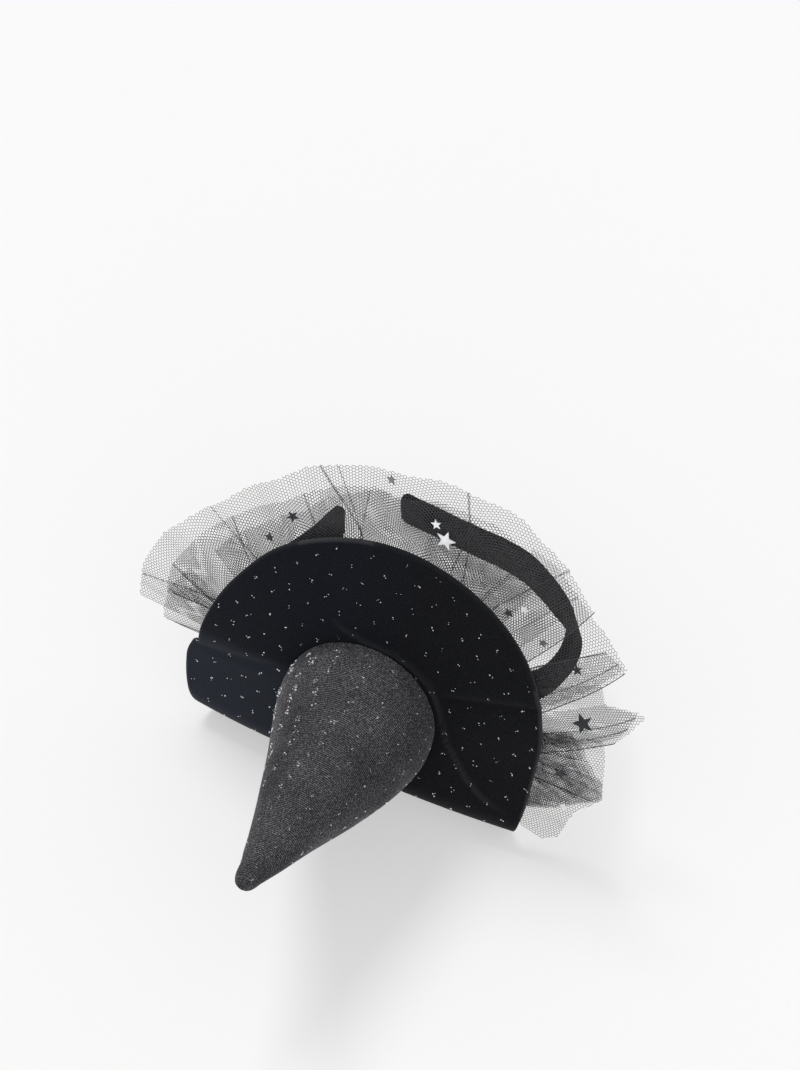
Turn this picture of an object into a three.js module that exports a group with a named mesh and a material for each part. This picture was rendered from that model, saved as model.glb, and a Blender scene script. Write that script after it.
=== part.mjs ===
// A small witch hat on a covered headband, lying on a table as it rests by itself.
// Units are millimetres, +Z is up and the cone points to -Y. The brim stands on its bent lower edge
// and the two ends of the band touch the table behind it.
import * as THREE from 'three';

const degrees = Math.PI / 180;

// Driving sizes
const hat = {
  lean: 17.5, // degrees that the brim leans back from upright, and the cone points up from level
  coneRadius: 30.5,
  coneHeight: 116,
  coneSides: 48,
  coneWall: 1.5,
  coneLeastRadius: 0.4, // of the rings at its tip
  brimWall: 2,
  gap: 0.3, // between pieces that touch
};
const foot = {
  bendStart: -25.5, // height on the brim, from the cone's axis, where it starts to turn under
  bendRadius: 12,
};
const brim = {
  around: 72,
  shares: [0.15, 0.3, 0.4, 0.48, 0.56, 0.64, 0.72, 0.8, 0.88, 0.95, 1], // of its edge's radius
  backCurve: 1.5, // how late towards the edge the bending back sets in
};
const crease = {
  height: 14, // where the crease crosses the brim's middle, above the cone's axis
  slope: 12.5, // degrees up towards +X
  depth: 0.9,
  width: 3,
  fade: 12, // it fades out over this distance next to the cone
};
const band = {
  width: 15,
  thickness: 4,
  steps: 96,
  endRound: 3, // the ends are rounded off over this length
  endBluntness: 0.95,
};
const net = {
  wall: 1,
  clearance: 0.4, // between the brim's back and the first layer
  layerStep: 1.4, // from one layer to the next where they are gathered
  layerSpread: 0.7, // and this much more at the outer edge
  lift: 1.2, // how far the first layer stands off its seat at the outer edge
  innerRadius: 54,
  rippleDepth: 3,
  rippleAngle: 15, // degrees from crest to crest
  angleStep: 2.5,
  bands: 5, // rows of facets from the inner edge to the outer edge
};

// The brim's edge, by the angle round the cone's axis from +X: its radius, and how far it is bent back
const brimEdge = [
  { angle: -90, radius: 76, back: -1.5 },
  { angle: -60, radius: 76, back: -3 },
  { angle: -28, radius: 76, back: 0.5 },
  { angle: -5, radius: 72, back: 3 },
  { angle: 16, radius: 75, back: 2 },
  { angle: 39, radius: 77, back: 5 },
  { angle: 60, radius: 77, back: 6.5 },
  { angle: 88, radius: 76, back: 7.4 },
  { angle: 107, radius: 77, back: 4 },
  { angle: 123, radius: 77, back: 0 },
  { angle: 142, radius: 72.5, back: -2 },
  { angle: 164, radius: 70, back: 0 },
  { angle: 180, radius: 71.5, back: 3.5 },
  { angle: 188, radius: 75, back: 6 },
  { angle: 200, radius: 76.5, back: 5.5 },
  { angle: 235, radius: 76, back: 3 },
];

// How far the net flares back at its outer edge, past the brim's own edge
const netFlare = [
  { angle: -30, flare: 0 },
  { angle: -5, flare: 0 },
  { angle: 12, flare: 0 },
  { angle: 30, flare: 0 },
  { angle: 45, flare: 1.5 },
  { angle: 65, flare: 3.5 },
  { angle: 90, flare: 0.5 },
  { angle: 115, flare: 1.5 },
  { angle: 140, flare: 3 },
  { angle: 175, flare: 0 },
];

// The net's layers, each with its outer edge by angle
const netLayers = [
  {
    name: 'tulle_front',
    layer: 0,
    edge: [
      { angle: 43, radius: 113 },
      { angle: 54, radius: 113 },
      { angle: 65, radius: 114 },
      { angle: 75, radius: 112 },
      { angle: 92, radius: 108 },
      { angle: 105, radius: 107.5 },
      { angle: 117, radius: 103 },
      { angle: 132, radius: 99.5 },
      { angle: 143, radius: 99 },
      { angle: 153, radius: 101.5 },
      { angle: 165, radius: 101 },
      { angle: 174, radius: 98 },
    ],
  },
  {
    name: 'tulle_back',
    layer: 2,
    edge: [
      { angle: 58, radius: 96 },
      { angle: 80, radius: 93 },
      { angle: 98, radius: 92 },
      { angle: 108, radius: 91 },
      { angle: 117, radius: 86 },
      { angle: 130, radius: 86 },
      { angle: 150, radius: 87 },
    ],
  },
  {
    name: 'tulle_right',
    layer: 1,
    edge: [
      { angle: 29, radius: 115 },
      { angle: 34, radius: 112 },
      { angle: 40, radius: 109 },
      { angle: 60, radius: 106 },
    ],
  },
  {
    name: 'tulle_side',
    layer: 0,
    edge: [
      { angle: 10, radius: 98 },
      { angle: 15, radius: 106 },
      { angle: 20, radius: 119 },
      { angle: 22, radius: 101 },
      { angle: 28, radius: 103 },
    ],
  },
  {
    name: 'tulle_lower',
    layer: 1,
    edge: [
      { angle: -26, radius: 87 },
      { angle: -23, radius: 91 },
      { angle: -13, radius: 91 },
      { angle: -7, radius: 99 },
      { angle: 5, radius: 97.5 },
      { angle: 12, radius: 97 },
    ],
  },
];

// Foil stars on the front of the net, each named by its sheet, with its place there and its width
const star = { thickness: 0.4, waist: 0.42 }; // waist is the inner corners' share of the points' radius
const stars = [
  { sheet: 'tulle_front', angle: 118, radius: 86.5, width: 5, turn: 20 },
  { sheet: 'tulle_front', angle: 127, radius: 79.5, width: 4, turn: 50 },
  { sheet: 'tulle_front', angle: 93, radius: 104.5, width: 4.4, turn: 10 },
  { sheet: 'tulle_front', angle: 77, radius: 87.5, width: 8.6, turn: 8 },
  { sheet: 'tulle_front', angle: 80.8, radius: 91, width: 4.6, turn: 30 },
  { sheet: 'tulle_front', angle: 62.5, radius: 81, width: 3.6, turn: 15 },
  { sheet: 'tulle_front', angle: 52, radius: 80, width: 4.4, turn: 0 },
  { sheet: 'tulle_front', angle: 50.5, radius: 87, width: 4.4, turn: 25 },
  { sheet: 'tulle_right', angle: 40, radius: 84, width: 4, turn: 40 },
  { sheet: 'tulle_right', angle: 31.5, radius: 94, width: 5, turn: 10 },
  { sheet: 'tulle_side', angle: 18, radius: 91.5, width: 9, turn: 35 },
  { sheet: 'tulle_lower', angle: -1.5, radius: 81, width: 6, turn: 5 },
  { sheet: 'tulle_lower', angle: -12.5, radius: 86.5, width: 4, turn: 30 },
];

// The middle line of the headband, from its right end round behind the brim to its left end, and how far
// its width leans to +X and to +Y for each unit up
const bandLine = [
  { x: -32, y: 112.6, z: 6.67, leanX: 0.06, leanY: 0.15 },
  { x: -8, y: 107.5, z: 11, leanX: 0, leanY: 0.15 },
  { x: 25, y: 98, z: 21, leanX: -0.05, leanY: 0.22 },
  { x: 46.5, y: 81.5, z: 33, leanX: -0.15, leanY: 0.25 },
  { x: 61, y: 65, z: 43, leanX: -0.35, leanY: 0.15 },
  { x: 65, y: 44, z: 51.5, leanX: -0.12, leanY: 0.12 },
  { x: 60, y: 26, z: 59, leanX: -0.03, leanY: 0.25 },
  { x: 38, y: 12.6, z: 62.3, leanX: 0, leanY: 0.315 },
  { x: 0, y: 8.6, z: 54.4, leanX: 0, leanY: 0.315 },
  { x: -38, y: 6.6, z: 46.3, leanX: 0, leanY: 0.315 },
  { x: -56, y: 16, z: 40, leanX: -0.05, leanY: 0.28 },
  { x: -63, y: 34, z: 33, leanX: -0.1, leanY: 0.22 },
  { x: -61, y: 56.5, z: 23, leanX: -0.15, leanY: 0.2 },
  { x: -56, y: 77, z: 13.5, leanX: -0.18, leanY: 0.17 },
  { x: -52.4, y: 97.5, z: 5.46, leanX: -0.2, leanY: 0.15 },
];

// A value between the rows of a table: on straight lines, or smooth with a slope taken from both neighbours
function fromRows(rows, key, column, at, smooth) {
  const last = rows.length - 1;
  if (at <= rows[0][key]) return rows[0][column];
  if (at >= rows[last][key]) return rows[last][column];
  let i = 0;
  while (rows[i + 1][key] < at) i += 1;
  const step = rows[i + 1][key] - rows[i][key];
  const share = (at - rows[i][key]) / step;
  const rise = rows[i + 1][column] - rows[i][column];
  if (!smooth) return rows[i][column] + rise * share;
  const slope = (k) => {
    const low = rows[Math.max(k - 1, 0)];
    const high = rows[Math.min(k + 1, last)];
    return ((high[column] - low[column]) / (high[key] - low[key])) * step;
  };
  const bend = share * (1 - share) ** 2 * slope(i) - share ** 2 * (1 - share) * slope(i + 1);
  return rows[i][column] + rise * share * share * (3 - 2 * share) + bend;
}

// The same, where the rows go all the way round
function fromCircle(rows, column, angle) {
  const first = rows[0].angle;
  const turned = ((angle - first) % 360 + 360) % 360 + first;
  const before = { ...rows[rows.length - 1], angle: rows[rows.length - 1].angle - 360 };
  const after = rows.slice(0, 2).map((row) => ({ ...row, angle: row.angle + 360 }));
  return fromRows([before, ...rows, ...after], 'angle', column, turned, true);
}

const brimRadiusAt = (angle) => fromCircle(brimEdge, 'radius', angle);

// How far back a point of the brim lies, growing from the cone's foot to the edge
function brimBack(angle, radius) {
  const edge = brimRadiusAt(angle);
  const share = Math.min(Math.max((radius - hat.coneRadius) / (edge - hat.coneRadius), 0), 1);
  return fromCircle(brimEdge, 'back', angle) * share ** brim.backCurve;
}

const leanUp = new THREE.Vector3(0, Math.sin(hat.lean * degrees), Math.cos(hat.lean * degrees));
const leanOut = new THREE.Vector3(0, -Math.cos(hat.lean * degrees), Math.sin(hat.lean * degrees));
const footTurn = (90 + hat.lean) * degrees;

// Height of the cone's foot above the table, with the turned-under edge of the brim lying flat on it
const coneLevel = foot.bendRadius * (1 + Math.sin(hat.lean * degrees))
  - foot.bendStart * Math.cos(hat.lean * degrees) + hat.brimWall / 2;

// A place on the leaning plane of the brim, where out is along the cone and back is level
function onHat(x, up, out, back) {
  const point = new THREE.Vector3(x, back, coneLevel);
  return point.addScaledVector(leanUp, up).addScaledVector(leanOut, out);
}

// How deep the crease is at a place on the flat brim. It fades out under the cone
function creaseDepth(x, up, radius) {
  const slope = crease.slope * degrees;
  const above = (up - crease.height) * Math.cos(slope) - x * Math.sin(slope);
  const clearOfCone = Math.min(Math.max((radius - hat.coneRadius) / crease.fade, 0), 1);
  return crease.depth * clearOfCone * Math.exp(-((above / crease.width) ** 2));
}

// The brim's middle surface, with the crease and the turned-under foot
function brimPoint(angle, radius) {
  const x = radius * Math.cos(angle * degrees);
  let up = radius * Math.sin(angle * degrees);
  let out = -creaseDepth(x, up, radius);
  if (up < foot.bendStart) {
    const past = foot.bendStart - up;
    const turn = Math.min(past / foot.bendRadius, footTurn);
    const flat = past - turn * foot.bendRadius;
    up = foot.bendStart - foot.bendRadius * Math.sin(turn) - flat * Math.cos(turn);
    out -= foot.bendRadius * (1 - Math.cos(turn)) + flat * Math.sin(turn);
  }
  return onHat(x, up, out, brimBack(angle, radius));
}

// The first layer's place behind the brim, where it is gathered and sewn on
const netSeat = hat.brimWall / 2 + net.clearance + net.wall / 2;

// A layer of net behind the brim, from its gathered inner edge to its cut outer edge
function netPoint(layer, angle, radius, outerRadius) {
  const share = (radius - net.innerRadius) / (outerRadius - net.innerRadius);
  const crest = (1 - Math.cos((angle / net.rippleAngle) * 2 * Math.PI)) / 2;
  const back = brimBack(angle, radius)
    + netSeat + layer * net.layerStep
    + (net.lift + layer * net.layerSpread) * share
    + fromRows(netFlare, 'angle', 'flare', angle, true) * share ** 2
    + net.rippleDepth * crest * share ** brim.backCurve;
  const x = radius * Math.cos(angle * degrees);
  const up = radius * Math.sin(angle * degrees);
  return onHat(x, up, -creaseDepth(x, up, radius), back);
}

// The cone's outline, as shares of its height and foot radius, and how far it bulges to its right
const coneRows = [
  { height: 0, radius: 1, aside: 0 },
  { height: 0.07, radius: 1.03, aside: 0 },
  { height: 0.2, radius: 0.955, aside: 0.5 },
  { height: 0.4, radius: 0.75, aside: 0.9 },
  { height: 0.6, radius: 0.535, aside: 0.7 },
  { height: 0.8, radius: 0.33, aside: 0.3 },
  { height: 0.93, radius: 0.175, aside: 0 },
  { height: 0.98, radius: 0.12, aside: 0 },
  { height: 1, radius: 0.05, aside: 0 },
];

// Vertices and faces gathered into one geometry
class Shell {
  constructor() {
    this.points = [];
    this.faces = [];
  }

  add(point) {
    this.points.push(point.x, point.y, point.z);
    return this.points.length / 3 - 1;
  }

  quad(a, b, c, d) {
    this.faces.push(a, b, c, a, c, d);
  }

  // Closes a ring of points over its middle
  fan(ring, facesBack) {
    const middle = new THREE.Vector3();
    for (const i of ring) middle.add(new THREE.Vector3().fromArray(this.points, i * 3));
    const centre = this.add(middle.divideScalar(ring.length));
    ring.forEach((a, i) => {
      const b = ring[(i + 1) % ring.length];
      this.faces.push(centre, facesBack ? b : a, facesBack ? a : b);
    });
  }

  geometry() {
    const geometry = new THREE.BufferGeometry();
    geometry.setAttribute('position', new THREE.Float32BufferAttribute(this.points, 3));
    geometry.setIndex(this.faces);
    geometry.computeVertexNormals();
    return geometry;
  }
}

// A wall of even thickness on both sides of a grid of middle points
function wall(grid, thickness, form) {
  const goesRound = form !== 'sheet';
  const shell = new Shell();
  const rows = grid.length;
  const columns = grid[0].length;
  const wrap = (j) => (goesRound ? (j + columns) % columns : Math.min(Math.max(j, 0), columns - 1));
  const front = [];
  const rear = [];
  grid.forEach((row, i) => {
    const below = grid[Math.max(i - 1, 0)];
    const above = grid[Math.min(i + 1, rows - 1)];
    front.push([]);
    rear.push([]);
    row.forEach((point, j) => {
      const along = row[wrap(j + 1)].clone().sub(row[wrap(j - 1)]);
      const outward = above[j].clone().sub(below[j]);
      const normal = outward.cross(along).normalize();
      front[i].push(shell.add(point.clone().addScaledVector(normal, thickness / 2)));
      rear[i].push(shell.add(point.clone().addScaledVector(normal, -thickness / 2)));
    });
  });
  const last = goesRound ? columns : columns - 1;
  const edge = rows - 1;
  for (let j = 0; j < last; j += 1) {
    const k = wrap(j + 1);
    for (let i = 0; i < edge; i += 1) {
      shell.quad(front[i][j], front[i + 1][j], front[i + 1][k], front[i][k]);
      shell.quad(rear[i][j], rear[i][k], rear[i + 1][k], rear[i + 1][j]);
    }
    shell.quad(front[edge][j], rear[edge][j], rear[edge][k], front[edge][k]);
    if (form !== 'disc') shell.quad(front[0][j], front[0][k], rear[0][k], rear[0][j]);
  }
  if (form === 'disc') {
    shell.fan(front[0], false);
    shell.fan(rear[0], true);
  }
  if (form === 'sheet') {
    const end = columns - 1;
    for (let i = 0; i < edge; i += 1) {
      shell.quad(front[i][0], rear[i][0], rear[i + 1][0], front[i + 1][0]);
      shell.quad(front[i][end], front[i + 1][end], rear[i + 1][end], rear[i][end]);
    }
  }
  return shell.geometry();
}

function spread(count, from, to) {
  return Array.from({ length: count + 1 }, (_, i) => from + ((to - from) * i) / count);
}

function makeBrim() {
  const grid = brim.shares.map((share) => spread(brim.around, 0, 360).slice(0, brim.around)
    .map((angle) => brimPoint(angle, share * brimRadiusAt(angle))));
  return wall(grid, hat.brimWall, 'disc');
}

// A solid skin over rings of equal count, with both ends closed
function skin(rings) {
  const shell = new Shell();
  const ids = rings.map((ring) => ring.map((point) => shell.add(point)));
  for (let i = 0; i < ids.length - 1; i += 1) {
    ids[i].forEach((a, j) => {
      const k = (j + 1) % ids[i].length;
      shell.quad(a, ids[i][k], ids[i + 1][k], ids[i + 1][j]);
    });
  }
  shell.fan(ids[0], true);
  shell.fan(ids[ids.length - 1], false);
  return shell.geometry();
}

// The cone is a hollow wall, closed at its tip and open at its foot on the brim
function makeCone() {
  const start = hat.brimWall / 2 + hat.gap;
  const turns = spread(hat.coneSides, 0, 2 * Math.PI).slice(0, hat.coneSides);
  const ring = (row, inset, out) => turns.map((turn) => {
    const radius = Math.max(row.radius * hat.coneRadius - inset, hat.coneLeastRadius);
    const x = row.aside + radius * Math.cos(turn);
    const up = radius * Math.sin(turn);
    return onHat(x, up, out, 0);
  });
  const inner = coneRows.slice(0, 7).map((row) => ring(row, hat.coneWall, start + row.height * hat.coneHeight));
  const outer = coneRows.map((row) => ring(row, 0, start + row.height * hat.coneHeight));
  return skin([...inner.reverse(), ...outer]);
}

// A flat covered band swept along its line, with rounded corners and ends
function makeBand() {
  const curve = new THREE.CatmullRomCurve3(
    bandLine.map((row) => new THREE.Vector3(row.x, row.y, row.z)),
    false,
    'centripetal',
  );
  const rows = bandLine.map((row, i) => ({ ...row, place: i }));
  const length = curve.getLength();
  const rings = spread(band.steps, 0, 1).map((share) => {
    const place = curve.getUtoTmapping(share);
    const middle = curve.getPoint(place);
    const along = curve.getTangent(place);
    const lean = (column) => fromRows(rows, 'place', column, place * (rows.length - 1), true);
    const up = new THREE.Vector3(lean('leanX'), lean('leanY'), 1);
    up.addScaledVector(along, -up.dot(along)).normalize();
    const across = new THREE.Vector3().crossVectors(along, up).normalize();
    const fromEnd = Math.min(share, 1 - share) * length;
    const short = Math.max(1 - fromEnd / band.endRound, 0);
    const half = band.width / 2 - band.endRound * (1 - Math.sqrt(1 - short ** 2 * band.endBluntness));
    return bandSection(half).map(([high, deep]) => middle.clone()
      .addScaledVector(up, high).addScaledVector(across, deep));
  });
  return skin(rings);
}

// The band's section: flat faces and half-round edges
function bandSection(half) {
  const deep = band.thickness / 2;
  const arc = spread(4, -90, 90).map((turn) => turn * degrees);
  const top = arc.map((turn) => [half - deep + deep * Math.cos(turn), deep * Math.sin(turn)]);
  return [...top, ...top.map(([high, side]) => [-high, -side])];
}

function makeNet({ layer, edge }) {
  const from = edge[0].angle;
  const to = edge[edge.length - 1].angle;
  const angles = spread(Math.round((to - from) / net.angleStep), from, to);
  const grid = spread(net.bands, 0, 1).map((share) => angles.map((angle) => {
    const outer = fromRows(edge, 'angle', 'radius', angle, false);
    return netPoint(layer, angle, net.innerRadius + (outer - net.innerRadius) * share, outer);
  }));
  return wall(grid, net.wall, 'sheet');
}

// A flat star that lies on the front of a sheet of net, clear of the ripples under it
function makeStar(row) {
  const sheet = netLayers.find(({ name }) => name === row.sheet);
  const outer = fromRows(sheet.edge, 'angle', 'radius', row.angle, false);
  const near = (turn, out) => netPoint(sheet.layer, row.angle + turn, row.radius + out, outer);
  const centre = near(0, 0);
  const outward = near(0, 1).sub(near(0, -1)).normalize();
  const along = near(1, 0).sub(near(-1, 0));
  const front = outward.clone().cross(along).normalize();
  const reach = row.width / 2;
  let crest = 0;
  for (const out of [-reach, 0, reach]) {
    for (const side of [-reach, 0, reach]) {
      const turn = side / row.radius / degrees;
      crest = Math.max(crest, near(turn, out).sub(centre).dot(front));
    }
  }
  const corners = spread(10, 0, 2 * Math.PI).slice(0, 10).map((turn, i) => {
    const radius = i % 2 ? reach * star.waist : reach;
    const heading = turn + row.turn * degrees;
    return new THREE.Vector2(radius * Math.cos(heading), radius * Math.sin(heading));
  });
  const options = { depth: star.thickness, bevelEnabled: false };
  const geometry = new THREE.ExtrudeGeometry(new THREE.Shape(corners), options);
  const mesh = new THREE.Mesh(geometry, finishes.foil);
  const axes = new THREE.Matrix4().makeBasis(outward, front.clone().cross(outward), front);
  mesh.quaternion.setFromRotationMatrix(axes);
  mesh.position.copy(centre).addScaledVector(front, crest + net.wall / 2 + hat.gap);
  return mesh;
}

const finishes = {
  velvet: new THREE.MeshStandardMaterial({ color: 0x17171b, roughness: 0.85, metalness: 0 }),
  cover: new THREE.MeshStandardMaterial({ color: 0x2c2c31, roughness: 0.9, metalness: 0 }),
  net: new THREE.MeshStandardMaterial({ color: 0x202024, roughness: 0.6, metalness: 0 }),
  foil: new THREE.MeshStandardMaterial({ color: 0xb8bcc2, roughness: 0.25, metalness: 1 }),
};

const assembly = new THREE.Group();

function place(name, geometry, finish) {
  const mesh = new THREE.Mesh(geometry, finish);
  mesh.name = name;
  assembly.add(mesh);
}

place('cone', makeCone(), finishes.velvet);
place('brim', makeBrim(), finishes.velvet);
place('headband', makeBand(), finishes.cover);
for (const sheet of netLayers) place(sheet.name, makeNet(sheet), finishes.net);

stars.forEach((row, i) => {
  const mesh = makeStar(row);
  mesh.name = `star_${i + 1}`;
  assembly.add(mesh);
});

// The origin is the middle of the whole thing's footprint, on the table
const bounds = new THREE.Box3().setFromObject(assembly);
const middle = bounds.getCenter(new THREE.Vector3());
assembly.position.set(-middle.x, -middle.y, -bounds.min.z);

export default assembly;
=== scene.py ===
# A small witch hat on a covered hair band, dressed in velvet, glitter, net and foil stars.
# Helper functions work in millimetres, and meshes are written in metres.
import math
import random

import bmesh
import bpy
from mathutils import Matrix, Vector


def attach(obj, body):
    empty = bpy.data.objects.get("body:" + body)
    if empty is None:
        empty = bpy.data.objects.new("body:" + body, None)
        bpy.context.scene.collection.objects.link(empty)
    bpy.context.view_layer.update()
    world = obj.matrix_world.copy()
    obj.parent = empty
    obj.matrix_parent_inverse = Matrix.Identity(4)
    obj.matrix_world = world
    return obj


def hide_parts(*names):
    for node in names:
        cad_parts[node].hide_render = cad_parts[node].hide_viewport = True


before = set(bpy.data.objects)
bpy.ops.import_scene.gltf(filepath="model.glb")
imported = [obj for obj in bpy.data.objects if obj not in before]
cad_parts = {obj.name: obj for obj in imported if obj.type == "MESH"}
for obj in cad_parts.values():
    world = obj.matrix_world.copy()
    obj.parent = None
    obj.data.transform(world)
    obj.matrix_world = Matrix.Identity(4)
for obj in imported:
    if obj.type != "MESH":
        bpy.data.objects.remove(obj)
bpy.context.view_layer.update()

bl_info = {
    "name": "Witch Hat Headband",
    "version": (1, 0, 0),
    "blender": (4, 5, 0),
    "location": "3D View > Sidebar > Witch Hat",
    "description": "Models a small velvet witch hat with a net ruffle on a hair band",
    "category": "Object",
}

MM = 0.001
SEED = 7

# Places and sizes of the solid part that the pieces are fitted to
HAT_X = -5.66
HAT_Y = -1.4
LEAN = math.radians(17.5)
BRIM_HALF_WALL = 1
CONE_FOOT = 30.5
CONE_START = 1.3
SEAM_RADIUS = 54
SEWN_STRIP = 4
SPREAD_RADIUS = 100
MM_PER_DEGREE = math.radians(SPREAD_RADIUS)
BEND_START = -25.5
BEND_RADIUS = 12.0
CREASE_HEIGHT = 14.0
CREASE_SLOPE = math.radians(12.5)

# The brim's edge: angle round the cone, radius, how far it is bent back
BRIM_EDGE = (
    (-90, 76, -1.5),
    (-60, 76, -3),
    (-28, 76, 0.5),
    (-5, 72, 3),
    (16, 75, 2),
    (39, 77, 5),
    (60, 77, 6.5),
    (88, 76, 7.4),
    (107, 77, 4),
    (123, 77, 0),
    (142, 72.5, -2),
    (164, 70, 0),
    (180, 71.5, 3.5),
    (188, 75, 6),
    (200, 76.5, 5.5),
    (235, 76, 3),
)

# The soft ridge that the cloth makes beside the cone and down to the lower right: x and height on the brim
BRIM_RIDGE = (
    (-18, 40.5),
    (-11.4, 36.4),
    (-1.7, 34.2),
    (9.8, 33.6),
    (18, 30.5),
    (25.6, 25),
    (31.6, 14.2),
    (36, 1),
    (45.5, -12.7),
    (52.7, -19.6),
    (66, -25.4),
)

# How far the net flares back at its outer edge: angle, flare
NET_FLARE = (
    (-30, 0),
    (-5, 0),
    (12, 0),
    (30, 0),
    (45, 1.5),
    (65, 3.5),
    (90, 0.5),
    (115, 1.5),
    (140, 3),
    (175, 0),
)

# The net's sheets. Those with a node stand for it, and the others are plies between them. Each of the two
# side edges has its angle at the gathered seam and at the sheet's full reach. Edge rows are angle and radius
# of the outer edge. A pleat has its fold's angle at the seam and at the full reach, and how many millimetres
# of net it takes up at each. A folded side shows as a dark line. A gather below 1 draws the cells closer.
NET_SHEETS = (
    {
        "name": "tulle_front",
        "stands_for_node": True,
        "layer": 0,
        "sides": ((33.2, 43.5), (174, 176)),
        "edge": (
            (43, 113), (54, 113), (65, 114), (75, 112), (92, 108), (105, 107.5), (117, 103), (132, 99.5),
            (143, 99), (153, 101.5), (165, 101), (176, 98),
        ),
        "pleats": (
            (57.8, 52.5, 1, 1), (62, 78.5, 1, 1.2), (94.4, 112.5, 1, 1.3), (97, 106, 0.8, 0.6),
            (131.5, 141, 1.2, 0), (155.3, 173, 1.2, 0.6),
        ),
        "folded": (True, False),
    },
    {
        "name": "tulle_front_ply",
        "stands_for_node": False,
        "layer": 0.5,
        "sides": ((38, 45), (182, 183)),
        "edge": (
            (45, 101), (54, 103), (65, 102), (75, 101), (92, 95), (97, 97), (107, 96.5), (109, 94), (122, 91),
            (140, 91), (150, 91), (162, 91), (172, 88), (180, 87.5), (183, 77),
        ),
        "pleats": ((112, 116, 0.8, 0.8), (141, 134, 0.8, 0.8), (163, 161, 1, 1.5)),
        "folded": (False, False),
    },
    {
        "name": "tulle_left_ply",
        "stands_for_node": False,
        "gather": 0.8,
        "layer": 1,
        "sides": ((158, 160), (163, 172)),
        "edge": ((158, 84), (163, 86), (172, 88.5)),
        "pleats": (),
        "folded": (False, True),
    },
    {
        "name": "tulle_back",
        "stands_for_node": True,
        "layer": 2,
        "sides": ((58, 58), (150, 150)),
        "edge": ((58, 96), (80, 93), (98, 92), (108, 89), (117, 83), (130, 82), (150, 82)),
        "pleats": ((104, 99, 0.8, 0.8),),
        "folded": (False, False),
    },
    {
        "name": "tulle_back_ply",
        "stands_for_node": False,
        "layer": 2.5,
        "sides": ((46, 52), (82, 82)),
        "edge": ((52, 94), (60, 92), (72, 90), (82, 84)),
        "pleats": ((70, 74, 1, 1),),
        "folded": (False, False),
    },
    {
        "name": "tulle_right",
        "stands_for_node": True,
        "layer": 1,
        "sides": ((14.2, 29.7), (60, 60)),
        "edge": ((29, 115), (34, 112), (40, 109), (60, 106)),
        "pleats": ((46, 47, 0.8, 0.8),),
        "folded": (True, False),
    },
    {
        "name": "tulle_right_ply",
        "stands_for_node": False,
        "gather": 0.8,
        "layer": 1.5,
        "sides": ((14.8, 29.7), (33.4, 33.4)),
        "edge": ((29, 113), (34, 106)),
        "pleats": ((20, 31.5, 0.8, 0.8),),
        "folded": (False, True),
    },
    {
        "name": "tulle_side",
        "stands_for_node": True,
        "gather": 0.85,
        "layer": 0,
        "sides": ((-0.3, 17.3), (28, 28)),
        "edge": ((12, 101), (15, 107), (17.6, 112.6), (20, 118), (22, 101), (28, 103)),
        "pleats": (),
        "folded": (True, False),
    },
    {
        "name": "tulle_side_ply",
        "stands_for_node": False,
        "gather": 0.8,
        "layer": 0.5,
        "sides": ((-0.3, 17.3), (18, 23)),
        "edge": ((12, 100), (15, 106), (18, 111), (20, 114), (22, 99)),
        "pleats": ((3, 18.3, 1, 1), (9, 19.5, 0.8, 0.8)),
        "folded": (False, False),
    },
    {
        "name": "tulle_lower",
        "stands_for_node": True,
        "layer": 1,
        "sides": ((-26, -26), (12, 12)),
        "edge": ((-26, 87), (-23, 91), (-13, 91), (-7, 99), (5, 97.5), (12, 97)),
        "pleats": (),
        "folded": (False, False),
    },
    {
        "name": "tulle_lower_ply_1",
        "stands_for_node": False,
        "gather": 0.8,
        "layer": 1.35,
        "sides": ((-23, -23), (11, 11)),
        "edge": ((-22, 74), (-17, 81), (-11, 91), (-7.6, 99), (-2, 98), (3, 91), (9, 86)),
        "pleats": ((2, 4, 1, 1),),
        "folded": (False, False),
    },
    {
        "name": "tulle_lower_ply_2",
        "stands_for_node": False,
        "gather": 0.8,
        "layer": 1.7,
        "sides": ((-23, -23), (11, 11)),
        "edge": ((-22, 74), (-17, 81), (-11, 91), (-8, 98), (-4, 96), (2, 89), (9, 84)),
        "pleats": ((-8, -9, 1, 1),),
        "folded": (False, False),
    },
    {
        "name": "tulle_lower_ply_3",
        "stands_for_node": False,
        "gather": 0.8,
        "layer": 2.05,
        "sides": ((-23, -23), (10, 10)),
        "edge": ((-22, 74), (-17, 80), (-12, 88), (-7, 93), (0, 86), (9, 81)),
        "pleats": (),
        "folded": (False, False),
    },
)

# The middle line of the hair band from its right end round behind the brim: x, y, z, and how far its
# width leans to +X and to +Y for each unit up
BAND_LINE = (
    (-32, 112.6, 6.67, 0.06, 0.15),
    (-8, 107.5, 11, 0, 0.15),
    (25, 98, 21, -0.05, 0.22),
    (46.5, 81.5, 33, -0.15, 0.25),
    (61, 65, 43, -0.35, 0.15),
    (65, 44, 51.5, -0.12, 0.12),
    (60, 26, 59, -0.03, 0.25),
    (38, 12.6, 62.3, 0, 0.315),
    (0, 8.6, 54.4, 0, 0.315),
    (-38, 6.6, 46.3, 0, 0.315),
    (-56, 16, 40, -0.05, 0.28),
    (-63, 34, 33, -0.1, 0.22),
    (-61, 56.5, 23, -0.15, 0.2),
    (-56, 77, 13.5, -0.18, 0.17),
    (-52.4, 97.5, 5.46, -0.2, 0.15),
)

# The cone's outline: share of its height, share of its foot's radius, bulge to its right
CONE_ROWS = (
    (0, 1, 0.2),
    (0.07, 1.015, 0.5),
    (0.2, 0.925, 1.4),
    (0.4, 0.71, 2.1),
    (0.6, 0.495, 1.9),
    (0.8, 0.3, 1.1),
    (0.93, 0.175, 0),
    (0.98, 0.12, 0),
    (1, 0.05, 0),
)

DARK_STARS = (1, 2, 7, 10, 11, 12)
GREY_STARS = (3, 6, 9)


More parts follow.
